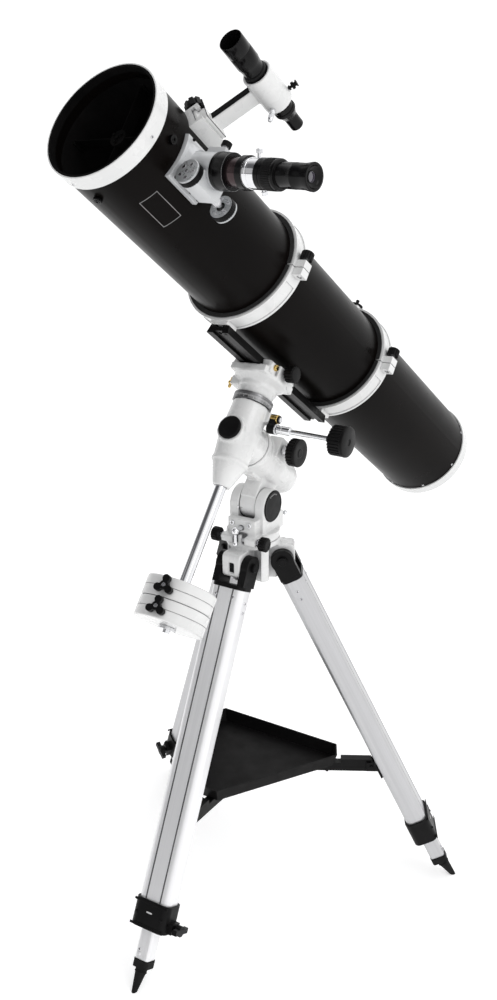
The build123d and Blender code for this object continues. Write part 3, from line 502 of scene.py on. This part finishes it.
# ------------------------------------------------------------------ focuser
P = Piece("focus_knob_pair", "focus", bevel=0.25, slot="grey_alloy")
A0 = sub(FOC, (0, 26, 124), (1, 0, 0), (0, 1, 0))
P.lathe(A0, [(0, -62), (4, -61), (4, -40), (6.6, -40), (6.6, -24.6), (4, -24.6), (4, 37), (0, 38)], steel, 32)
for z0, z1, s in ((24.4, 37.4, 1), (-48.0, -61.0, -1)):
    a, b_ = (z0, z1) if s > 0 else (z1, z0)
    P.ribs(A0, 18.8, a + (0.0 if s > 0 else 3.4), b_ - (3.4 if s > 0 else 0.0), 34, 1.0, plastic, duty=0.6)
    lo, hi = (b_ - 3.4, b_) if s > 0 else (a, a + 3.4)
    P.lathe(A0, [(0, lo), (18.3, lo), (18.7, lo + 0.6), (18.7, hi - 0.8), (17.8, hi), (0, hi)], knob_face, 64)
    top = hi if s > 0 else lo
    if s > 0:
        for i in range(5):
            t = math.radians(90 + i * 72)
            D = sub(A0, (10.6 * math.cos(t), 10.6 * math.sin(t), hi), (0, 0, 1))
            P.lathe(D, [(2.9, 0.02), (2.5, 0.10), (2.1, -0.0), (1.2, 0.05), (0, 0.06)], steel, 20)
            P.lathe(D, [(3.2, 0.02), (3.15, 0.25), (2.8, 0.28), (2.6, 0.02)], steel, 20)
    else:
        for i in range(5):
            t = math.radians(90 + i * 72)
            D = sub(A0, (10.6 * math.cos(t), 10.6 * math.sin(t), lo), (0, 0, -1))
            P.lathe(D, [(3.2, 0.02), (3.15, 0.25), (2.8, 0.28), (2.6, 0.02)], steel, 20)
P.done("focus_knobs")
# the front faces of both knobs show the same dimpled pressing, the rear knob's towards the body
P = Piece("focus_knob_inner_face", "focus")
P.lathe(A0, [(7.0, -48.0), (17.8, -48.0), (17.9, -47.4), (7.0, -47.2)], knob_face, 64)
for i in range(5):
    t = math.radians(54 + i * 72)
    D = sub(A0, (12.2 * math.cos(t), 12.2 * math.sin(t), -47.3), (0, 0, 1))
    P.lathe(D, [(3.0, 0.02), (2.95, 0.30), (2.6, 0.32), (2.4, 0.05), (0, 0.04)], steel, 20)
P.done()

P = Piece("focuser_screws", "ota")
for x in (-27, -9, 9, 27):
    P.socket_screw(sub(FOC, (x, 30.5, 98.0 - 0.0), (0, 0.05, 1)), 2.4, 1.6, plastic)
for x in (-27, 27):
    P.socket_screw(sub(FOC, (x, -29.5, 98.0), (0, -0.05, 1)), 2.4, 1.6, plastic)
for y in (19, 31):
    P.socket_screw(sub(FOC, (23.9, y, 131.5 - (0 if y < 25 else 14)), (1, 0, 0)), 1.8, 1.0, plastic)
P.done()
P = Piece("focuser_collar", "ota", bevel=0.3, slot="black_alloy")
P.lathe(FOC, [(20.35, 144.6), (25.9, 144.6), (26.2, 145.2), (26.2, 150.0), (25.8, 150.6), (25.8, 167.6), (25.0, 168.4), (20.5, 168.4)], gloss_black, 72, True)
P.done()
P = Piece("adapter_detail", "draw", bevel=0.2)
P.lathe(FOC, [(20.05, 170.2), (20.3, 170.2), (20.3, 171.0), (20.05, 171.0)], gloss_black, 64, True)
P.lathe(FOC, [(16.05, 188.05), (22.4, 188.05), (22.9, 188.6), (22.9, 197.0), (22.4, 197.6), (21.2, 197.8), (21.2, 203.5), (20.6, 204.0), (20.6, 206.6), (21.0, 207.0), (21.0, 225.4), (20.4, 225.95), (16.05, 225.95)], chrome, 72, True)
P.ring(FOC, 23.2, 20.2, 187.9, 198.4, gloss_black, c=0.5)
P.ring(FOC, 21.15, 20.0, 218.6, 226.0, gloss_black, c=0.3)
for ang in (-55, 155):
    S = sub(FOC, (0, 0, 212), (math.cos(math.radians(ang)), math.sin(math.radians(ang)), 0), (0, 0, 1))
    P.lathe(S, [(0, 17.2), (2.4, 17.4), (2.4, 26), (0, 26)], chrome, 24)
    P.ribs(S, 4.5, 26.0, 31.4, 14, 0.5, chrome)
    P.lathe(S, [(0, 31.3), (3.6, 31.3), (3.0, 32.0), (0, 32.1)], chrome, 24)
P.done("eyepiece_adapter")
P = Piece("eyepiece_detail", "ocular", bevel=0.15, slot="black_alloy")
P.lathe(FOC, [(0, 198.2), (12.5, 198.2), (15.0, 198.4), (15.7, 199.0), (15.7, 226.3), (20.6, 226.35), (21.2, 227.0), (21.2, 230.0), (20.7, 230.6),
              (20.7, 246.0), (21.2, 246.8), (21.2, 250.0), (20.2, 251.8), (17.2, 252.4), (17.2, 276.0), (17.35, 276.3), (17.35, 277.2), (17.1, 277.6),
              (17.1, 292.0), (17.4, 295.0), (18.7, 302.0), (18.9, 305.0), (18.3, 306.0), (15.6, 306.0), (14.2, 303.6), (12.0, 301.8), (8.0, 301.2), (7.4, 301.0)], gloss_black, 72)
P.ribs(FOC, 21.4, 231.4, 245.2, 44, 0.6, plastic)
P.lathe(FOC, [(7.4, 301.0), (7.2, 299.4), (0, 299.9)], lens, 48)
P.ring(FOC, 8.6, 7.2, 300.8, 301.9, plastic, c=0.3)
P.done("eyepiece")
P = Piece("lock_knob_stem", "focus_screw", bevel=0.2)
S = sub(FOC, (0, 0, 132), (0, -1, 0), (1, 0, 0))
P.lathe(S, [(0, 20.6), (3, 20.8), (3, 36.5), (4.4, 36.8), (4.4, 38.4), (0, 38.4)], chrome, 24)
P.ribs(S, 7.2, 38.0, 45.6, 16, 0.8, plastic)
P.lathe(S, [(0, 45.5), (5.8, 45.5), (5.0, 46.2), (0, 46.4)], plastic, 24)
P.done("focus_lock")

# ------------------------------------------------------------------ finder
U = 204.3
FX = fr(TUBE + U * GY, GX, GY, DZ)
P = Piece("finder_optics", "finder", bevel=0.12, slot="black_alloy")
P.lathe(FX, [(15.7, 452.2), (15.7, 493.2), (16.0, 494.0), (16.8, 494.0), (17.0, 493.4), (17.0, 472.6), (16.85, 472.3), (17.0, 472.0), (17.0, 449.5), (16.2, 447.9), (15.1, 436.0), (15.1, 434.4),
             (16.0, 434.1), (16.6, 433.4), (16.6, 429.0), (14.5, 428.6), (14.5, 352.3), (15.4, 352.0), (15.6, 351.4), (15.6, 346.8), (14.6, 345.9), (10.7, 336.4), (10.1, 335.6), (10.1, 331.0), (9.9, 330.8), (9.9, 330.2), (10.1, 330.0),
             (10.1, 314.2), (9.2, 313.0), (7.6, 313.0), (7.6, 316.8), (0, 316.6)], gloss_black, 64)
P.lathe(FX, [(15.75, 452.2), (15.6, 452.4), (9.0, 454.4), (0, 455.0)], lens, 48)
P.lathe(FX, [(7.5, 315.6), (0, 315.1)], lens, 32)
P.ribs(FX, 16.95, 429.4, 433.4, 48, 0.5, gloss_black)
P.ribs(FX, 15.95, 347.6, 351.4, 40, 0.5, gloss_black)
for k, ax in enumerate((30.0, 150.0, 270.0)):
    t = math.radians(ax + 60)
    S = sub(FX, (0, 0, 375), (math.cos(t), math.sin(t), 0), (0, 0, 1))
    if k == 2:
        P.lathe(S, [(0, 14.6), (2.0, 14.6), (2.0, 21), (4.4, 21.4), (4.4, 26.0), (3.7, 26.6), (3.7, 38.6), (2.9, 40.0), (0, 40.1)], chrome, 32)
        P.ribs(S, 4.0, 29.0, 36.6, 18, 0.4, chrome)
    else:
        P.lathe(S, [(0, 14.6), (2.0, 14.6), (2.0, 22.2), (3.6, 22.4), (3.6, 24.6), (2.0, 24.8), (2.0, 27.4), (0, 27.4)], plastic, 24)
        P.ribs(S, 5.4, 27.2, 31.0, 12, 0.9, plastic)
        P.lathe(S, [(4.2, 31.0), (3.2, 31.6), (3.2, 33.6), (5.0, 34.2), (5.0, 35.8), (0, 36.0)], plastic, 24)
P.done("finder_tube")
P = Piece("finder_bracket_trim_and_shade", "finder", bevel=0.2)
# painted shade: a near-black strip on the stalk's front face, its shaded side
P.box(FND, -5.6, 5.6, 118.5, 184.5, 411.8, 412.5, shade_and_print_black)
P.lathe(FX, [(14.8, 427.95), (17.2, 427.95), (17.2, 428.25), (14.8, 428.25)], gloss_black, 64, True)
# painted shade: a near-black line in the gap between the bracket and the shoe
P.box(FND, -10.2, 10.2, 116.8, 117.6, 375.8, 424.2, shade_and_print_black)
P.done()
P = Piece("finder_shoe_trim", "ota", bevel=0.2)
for z in (376, 424):
    P.socket_screw(sub(FND, (-12.6, 112.0, z), (0, 1, 0)), 1.7, 1.0, plastic)
P.done()
P = Piece("finder_knob_detail", "finder_screw", bevel=0.35)
S = sub(FND, (0, 102.5, 420), (-1, 0, 0), (0, 1, 0))
P.lathe(S, [(0, 13.6), (3, 13.8), (3, 20.4), (0, 20.4)], chrome, 24)
P.ribs(S, 14.2, 19.8, 34.6, 8, 2.6, plastic, duty=0.6)
P.lathe(S, [(0, 34.5), (11.0, 34.5), (9.8, 36.2), (0, 36.8)], plastic, 32)
P.done("finder_knob")

# ------------------------------------------------------------------ mount
P = Piece("pivot_cap", "az", bevel=0.0, slot="black_plastic")
C = sub(WORLD, PIVOT, (1, 0, 0), (0, 1, 0))
P.lathe(C, [(27.2, 33.45), (27.6, 34.2), (27.6, 35.2), (26.4, 36.7), (24.6, 37.0), (23.4, 36.6), (22.8, 36.62), (8, 37.1), (0, 37.2)], plastic, 72)
P.lathe(C, [(0, -36.2), (18, -36.3), (20.2, -35.4), (20.2, -33.6)], plastic, 64)
for i in range(9):
    t = math.radians(62 + i * 7)
    Q = sub(C, (21.0 * math.cos(t), 21.0 * math.sin(t), 36.62), (0, 0, 1), (math.cos(t), math.sin(t), 0))
    P.box(Q, -1.6 if i % 2 == 0 else -0.8, 1.0, -0.25, 0.25, 0.0, 0.18, mark)
P.done()

# latitude scale on the housing's knuckle, and its pointer
P = Piece("latitude_scale", "lat")
for i in range(19):
    t = math.radians(95 + i * 4)
    Q = sub(WORLD, PIVOT + Vector((0.0, -27.0 * math.sin(t), 27.0 * math.cos(t))), (0, -math.sin(t), math.cos(t)), (1, 0, 0))
    P.box(Q, -15.0, -9.0 if i % 5 == 0 else -11.6, -0.22, 0.22, -0.15, 0.14, shade_and_print_black)
P.done()
P = Piece("latitude_pointer", "az", bevel=0.1)
P.prism(sub(WORLD, (-16.4, -30.0 + 6.5, PIVOT[2] - 1.0), (0, -1, 0), (1, 0, 0)), [(0, -2.2), (0, 2.2), (3.4, 0)], -0.2, 0.5, steel)
P.done()

P = Piece("base_plate_screws", "az", bevel=0.0, slot="bright_steel")
for sx in (-17, 17):
    P.socket_screw(sub(WORLD, (sx, -38.0, 727), (0, -1, 0)), 4.2, 3.0, chrome)
for x, y, z in ((-33.9, -41, 700.5), (33.9, -41, 700.5)):
    P.lathe(sub(WORLD, (x, y, z), (1 if x > 0 else -1, 0, 0)), [(6.6, 0.0), (6.6, 1.0), (4.6, 1.1)], steel, 32)
P.done()
for sx, nm in ((-1, "left"), (1, "right")):
    P = Piece("azimuth_knob_detail_" + nm, "az_knob_" + nm, bevel=0.4)
    S = sub(WORLD, (0, -41, 700.5), (sx, 0, 0), (0, 0, 1))
    P.lathe(S, [(0, 4.8), (3.2, 4.8), (4.0, 5.6), (4.0, 41.2), (0, 41.2)], steel, 24)
    P.ribs(S, 12.3, 41.0, 53.0, 16, 1.3, plastic)
    P.lathe(S, [(0, 52.9), (10.4, 52.9), (9.8, 54.4), (5.0, 54.9), (4.6, 54.2), (0, 54.2)], plastic, 32)
    P.done("azimuth_knob_" + nm)

# declination circle graduations, bush, link pin and slow-motion rod
P = Piece("dec_graduations", "ra")
for i in range(120):
    t = math.radians(i * 3)
    Q = sub(RA, (33.5 * math.cos(t), 0, 33.5 * math.sin(t)), (math.cos(t), 0, math.sin(t)), (0, 1, 0))
    P.box(Q, 58.2 if i % 10 == 0 else (60.0 if i % 5 == 0 else 61.8), 64.4, -0.24, 0.24, -0.1, 0.10, mark)
P.ring(sub(RA, (0, 0, 0), (0, 1, 0), (1, 0, 0)), 33.85, 33.4, 66.2, 69.8, circle_grey, c=0.15, seg=96)
P.done()
P = Piece("dec_bush", "ra", bevel=0.2)
S = sub(RA, (0, 45, -10), (1, 0, 0), (0, 1, 0))
P.ring(S, 7.6, 4.6, 40.0, 52.6, brass, c=0.5)
P.lathe(S, [(0, 57.4), (4.0, 57.4), (4.6, 56.8), (4.6, 40.2), (0, 40.2)], steel, 24)
P.ring(sub(RA, (0, 28, -10), (1, 0, 0)), 9.3, 4.5, 54.0, 56.3, steel, c=0.4)
P.socket_screw(sub(RA, (50.0, 37, -16.4), (0, 0, -1)), 2.4, 1.6, steel)
P.done()
P = Piece("dec_knob_detail", "dec_drive_knob", bevel=0.5)
S = sub(RA, (0, 28, -10), (1, 0, 0), (0, 1, 0))
P.lathe(S, [(0, 41.2), (3.4, 41.2), (4.0, 42.0), (4.0, 56.9), (6.4, 57.0), (7.0, 57.6), (7.0, 66.0), (6.7, 66.3), (6.7, 67.2), (7.0, 67.5), (7.0, 81.2), (6.4, 82.0), (4.0, 82.1), (4.0, 150.2), (0, 150.2)], chrome, 40)
P.lathe(S, [(4.1, 149.8), (6.0, 150.2), (7.2, 154.0), (9.5, 160.6), (0, 160.8)], plastic, 40)
P.ribs(S, 24.6, 161.0, 184.0, 28, 1.5, plastic, duty=0.5)
P.lathe(S, [(0, 160.2), (20.0, 160.2), (23.0, 161.4), (23.2, 164.0)], plastic, 64)
P.lathe(S, [(23.2, 181.0), (24.4, 182.0), (25.0, 184.0), (24.4, 187.0), (22.4, 188.0), (6.0, 188.0), (5.0, 186.8), (0, 186.6)], plastic, 64)
P.done("dec_knob")
P = Piece("ra_knob_detail", "ra_drive_knob", bevel=0.5)
S = sub(RA, (0, 16, -72), (1, 0, 0), (0, 1, 0))
P.lathe(S, [(0, 32.2), (4, 32.4), (4, 46.0), (8.4, 46.1), (9, 46.8), (9, 55.4), (8.2, 56.0), (4, 56.1), (4, 60.4), (0, 60.4)], steel, 32)
P.ribs(S, 23.6, 61.0, 75.0, 24, 1.4, plastic, duty=0.5)
P.lathe(S, [(0, 60.2), (19.6, 60.2), (22.4, 61.4), (22.6, 63.0)], plastic, 64)
P.lathe(S, [(22.4, 73.6), (23.4, 74.4), (24.0, 75.6), (23.2, 77.4), (21.4, 78.0), (14.0, 77.4), (8.0, 77.2), (6.8, 78.0), (0, 78.0)], plastic, 64)
P.done("ra_knob")
P = Piece("polar_cap_rim", "polar_scope_cap")
P.lathe(RA, [(19.72, 38.0), (20.0, 38.3), (20.0, 39.6), (19.72, 40.0)], plastic, 64, True)
P.done()

# saddle screws
P = Piece("saddle_knob_detail", "saddle_screw", bevel=0.4)
S = sub(DEC, (0, 120, 0), (1, 0, 0), (0, 1, 0))
P.lathe(S, [(0, 21.7), (3.2, 21.7), (4, 22.6), (4, 44.8), (6.6, 45.0), (7.2, 45.6), (7.2, 49.4), (0, 49.6)], chrome, 32)
P.ribs(S, 14.3, 50.2, 65.0, 16, 1.7, plastic, duty=0.55)
P.lathe(S, [(0, 49.4), (11.4, 49.4), (12.4, 50.4)], plastic, 40)
P.lathe(S, [(0, 64.8), (12.2, 64.8), (11.4, 66.4), (6.0, 67.0), (0, 67.0)], plastic, 40)
P.done("saddle_knob")
P = Piece("saddle_safety_screw", "dec", bevel=0.2)
S = sub(DEC, (0, 116, 28), (1, 0, 0), (0, 1, 0))
P.ribs(S, 5.4, 41.1, 46.2, 18, 0.5, brass)
P.lathe(S, [(0, 46.1), (4.0, 46.1), (3.6, 46.8), (0, 46.9)], brass, 24)
P.done()
P = Piece("dec_wing", "dec_clamp", bevel=0.3)
S = sub(DEC, (0, 92, 8), (-1, 0, 0), (0, 1, 0))
P.lathe(S, [(0, 31.2), (3, 31.4), (3, 46.0), (4.6, 46.6), (4.8, 50.0), (3.4, 56.6), (0, 57.0)], brass, 24)
P.lathe(sub(DEC, (-53.4, 92, 8), (0, 1, 0)), [(0, -10), (1.8, -9.8), (2.6, -8.4), (2.5, -3), (2.9, 0), (2.5, 3), (2.6, 8.4), (1.8, 9.8), (0, 10)], brass, 20)
P.done("dec_lock")

# weights: knobs' screws and the toe bolt
for nm, y0 in (("a", -332.4 + 34.5), ("b", -332.4)):
    P = Piece("weight_screw_" + nm, "weight_%s_knob" % nm)
    S = sub(RA, (0, y0 + 17, 0), (math.sin(math.radians(8)), 0, math.cos(math.radians(8))), (0, 1, 0))
    P.lathe(S, [(0, 70.02), (3.2, 70.02), (3.2, 70.6), (0, 70.8)], steel, 24)
    P.done()
P = Piece("shaft_end", "ra", bevel=0.2)
S = sub(RA, (0, 0, 0), (0, -1, 0), (1, 0, 0))
P.ribs(S, 14.1, 333.1, 337.9, 30, 0.5, steel)
P.done()

# ------------------------------------------------------------------ tripod
P = Piece("leg_bracket_screws", "hub", slot="bright_steel")
for k, a in LEGS.items():
    L = leg_frame(a)
    for x in (-17, 17):
        P.pan_screw(sub(L, (x, 0.0, 683), (0, 1, 0)), 2.6, 1.3, steel)
    for sx in (-1, 1):
        P.pan_screw(sub(L, (sx * 31.0, -19, 676), (sx, 0, 0)), 2.8, 1.4, steel)
        P.pan_screw(sub(L, (sx * 31.0, -19, 660), (sx, 0, 0)), 2.8, 1.4, steel)
        P.lathe(sub(L, (0, -19, 738), (sx, 0, 0)), [(0, 36.0 if sx > 0 else 35.2), (5.0, 36.2 if sx > 0 else 35.4), (6.8, 37.4 if sx > 0 else 36.4), (6.4, 37.8 if sx > 0 else 36.8), (0, 38.0 if sx > 0 else 37.0)], plastic, 6)
P.done()
P = Piece("hub_recess_shade", "hub")
# painted shade: a near-black sheet on the hub's face above each leg, standing for the shade in a slot
for k, a in LEGS.items():
    b = math.radians(a)
    R = sub(WORLD, (0, 0, 0), (math.cos(b), math.sin(b), 0), (0, 0, 1))
    P.box(R, 648.6, 667.4, -5.6, 5.6, 67.4, 68.5, shade_and_print_black)
P.done()
for k, a in LEGS.items():
    L = leg_frame(a)
    P = Piece("clamp_trim_" + k, "hub", bevel=0.15)
    P.box(L, -5.5, 5.5, 3.45, 3.75, 137.6, 140.0, mark)
    P.box(L, -33.0, 33.0, 3.2, 4.4, 112.0, 116.0, plastic)
    P.box(L, -33.0, 33.0, 3.2, 4.4, 152.5, 156.8, plastic)
    for sx in (-1, 1):
        P.pan_screw(sub(L, (sx * 26.0, 3.5, 134), (0, 1, 0)), 2.4, 1.2, plastic)
    P.done()
    P = Piece("slider_screw_" + k, "lower_" + k)
    P.pan_screw(sub(L, (6, -3.6, 74), (0, 1, 0)), 2.8, 1.5, steel)
    P.done()
    P = Piece("foot_rings_" + k, "lower_" + k)
    V = Vector((0, -17 + 7.4, 58 - 3.5)).normalized()
    G = sub(L, (0, -7.4 - 8 * V[1], 3.5 - 8 * V[2]), V, (1, 0, 0))
    P.lathe(G, [(9.6, 40.0), (10.6, 40.4), (10.6, 42.4), (9.9, 42.9)], rubber, 48, True)
    P.done()
P = Piece("leg_grooves", "hub")
for k, a in LEGS.items():
    L = leg_frame(a)
    for gx in (-0.22 * 62.0, 0.24 * 62.0):
        P.box(L, gx - 1.5, gx + 1.5, -1.15, -0.75, 158.4, 696.6, groove)
P.done()

# ------------------------------------------------------------------ floor, light, camera
bm = bmesh.new()
bmesh.ops.create_circle(bm, cap_ends=True, radius=60.0, segments=96)
me = bpy.data.meshes.new("studio_floor")
bm.to_mesh(me)
bm.free()
floor = bpy.data.objects.new("studio_floor", me)
floor.location = (0, 0, -0.0006)
bpy.context.scene.collection.objects.link(floor)
me.materials.append(material("studio_floor", (0.98, 0.98, 0.98), (1.0, 1.0, 1.0), scale=0.6, rough=(0.8, 0.9), spec=0.0, bump=0.02, bump_scale=60))
fb = me.materials[0].node_tree.nodes["Principled BSDF"]
fb.inputs["Emission Color"].default_value = (1, 1, 1, 1)
fb.inputs["Emission Strength"].default_value = 0.42
floor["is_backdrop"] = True

w = bpy.data.worlds.new("studio")
bpy.context.scene.world = w
w.use_nodes = True
wn, wl = w.node_tree.nodes, w.node_tree.links
bg = wn["Background"]
tc = wn.new("ShaderNodeTexCoord")
dot = wn.new("ShaderNodeVectorMath")
dot.operation = "DOT_PRODUCT"
dot.inputs[1].default_value = (-0.60, -0.62, 0.505)
wl.new(tc.outputs["Generated"], dot.inputs[0])
mr = wn.new("ShaderNodeMapRange")
mr.inputs["From Min"].default_value = -1.0
mr.inputs["From Max"].default_value = 1.0
wl.new(dot.outputs["Value"], mr.inputs["Value"])
cr = wn.new("ShaderNodeValToRGB")
cr.color_ramp.elements[0].position = 0.0
cr.color_ramp.elements[0].color = (1.0, 1.0, 1.0, 1)
cr.color_ramp.elements[1].position = 1.0
cr.color_ramp.elements[1].color = (0.10, 0.10, 0.105, 1)
e2 = cr.color_ramp.elements.new(0.76)
e2.color = (0.96, 0.96, 0.965, 1)
e3 = cr.color_ramp.elements.new(0.93)
e3.color = (0.12, 0.12, 0.125, 1)
wl.new(mr.outputs["Result"], cr.inputs["Fac"])
wl.new(cr.outputs["Color"], bg.inputs["Color"])
bg.inputs["Strength"].default_value = 1.12


def area(name, loc, target, size, power):
    li = bpy.data.lights.new(name, "AREA")
    li.shape = "DISK"
    li.size = size
    li.energy = power
    o = bpy.data.objects.new(name, li)
    o.location = loc
    o.rotation_euler = (Vector(target) - Vector(loc)).to_track_quat("-Z", "Y").to_euler()
    bpy.context.scene.collection.objects.link(o)
    return o


area("key", (3.4, -0.9, 3.4), (0, 0, 0.8), 2.2, 24)
area("fill", (-2.6, -3.2, 2.6), (0, 0, 0.8), 2.6, 6)
area("top", (0.3, 0.8, 4.2), (0, 0, 0.8), 3.0, 10)

cam = bpy.data.cameras.new("camera")
cam.sensor_fit = "VERTICAL"
cam.sensor_height = 24.0
cam.lens = 1209.54 / 1000.0 * 24.0
cam.clip_end = 200.0
cam.dof.use_dof = False
co = bpy.data.objects.new("camera", cam)
bpy.context.scene.collection.objects.link(co)
az, el, ro = math.radians(32.45), math.radians(20.71), math.radians(-0.28)
back = Vector((math.sin(az) * math.cos(el), -math.cos(az) * math.cos(el), math.sin(el)))
rt = Vector((math.cos(az), math.sin(az), 0.0))
up = back.cross(rt)
right = math.cos(ro) * rt + math.sin(ro) * up
up = -math.sin(ro) * rt + math.cos(ro) * up
eye = (Vector((1026.0, -1628.4, 1485.5)) + SHIFT) * 0.001
co.matrix_world = Matrix(((right[0], up[0], back[0], eye[0]), (right[1], up[1], back[1], eye[1]), (right[2], up[2], back[2], eye[2]), (0, 0, 0, 1)))
bpy.context.scene.camera = co
bpy.context.scene.view_settings.view_transform = "Standard"
bpy.context.scene.view_settings.look = "None"

lo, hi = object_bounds()
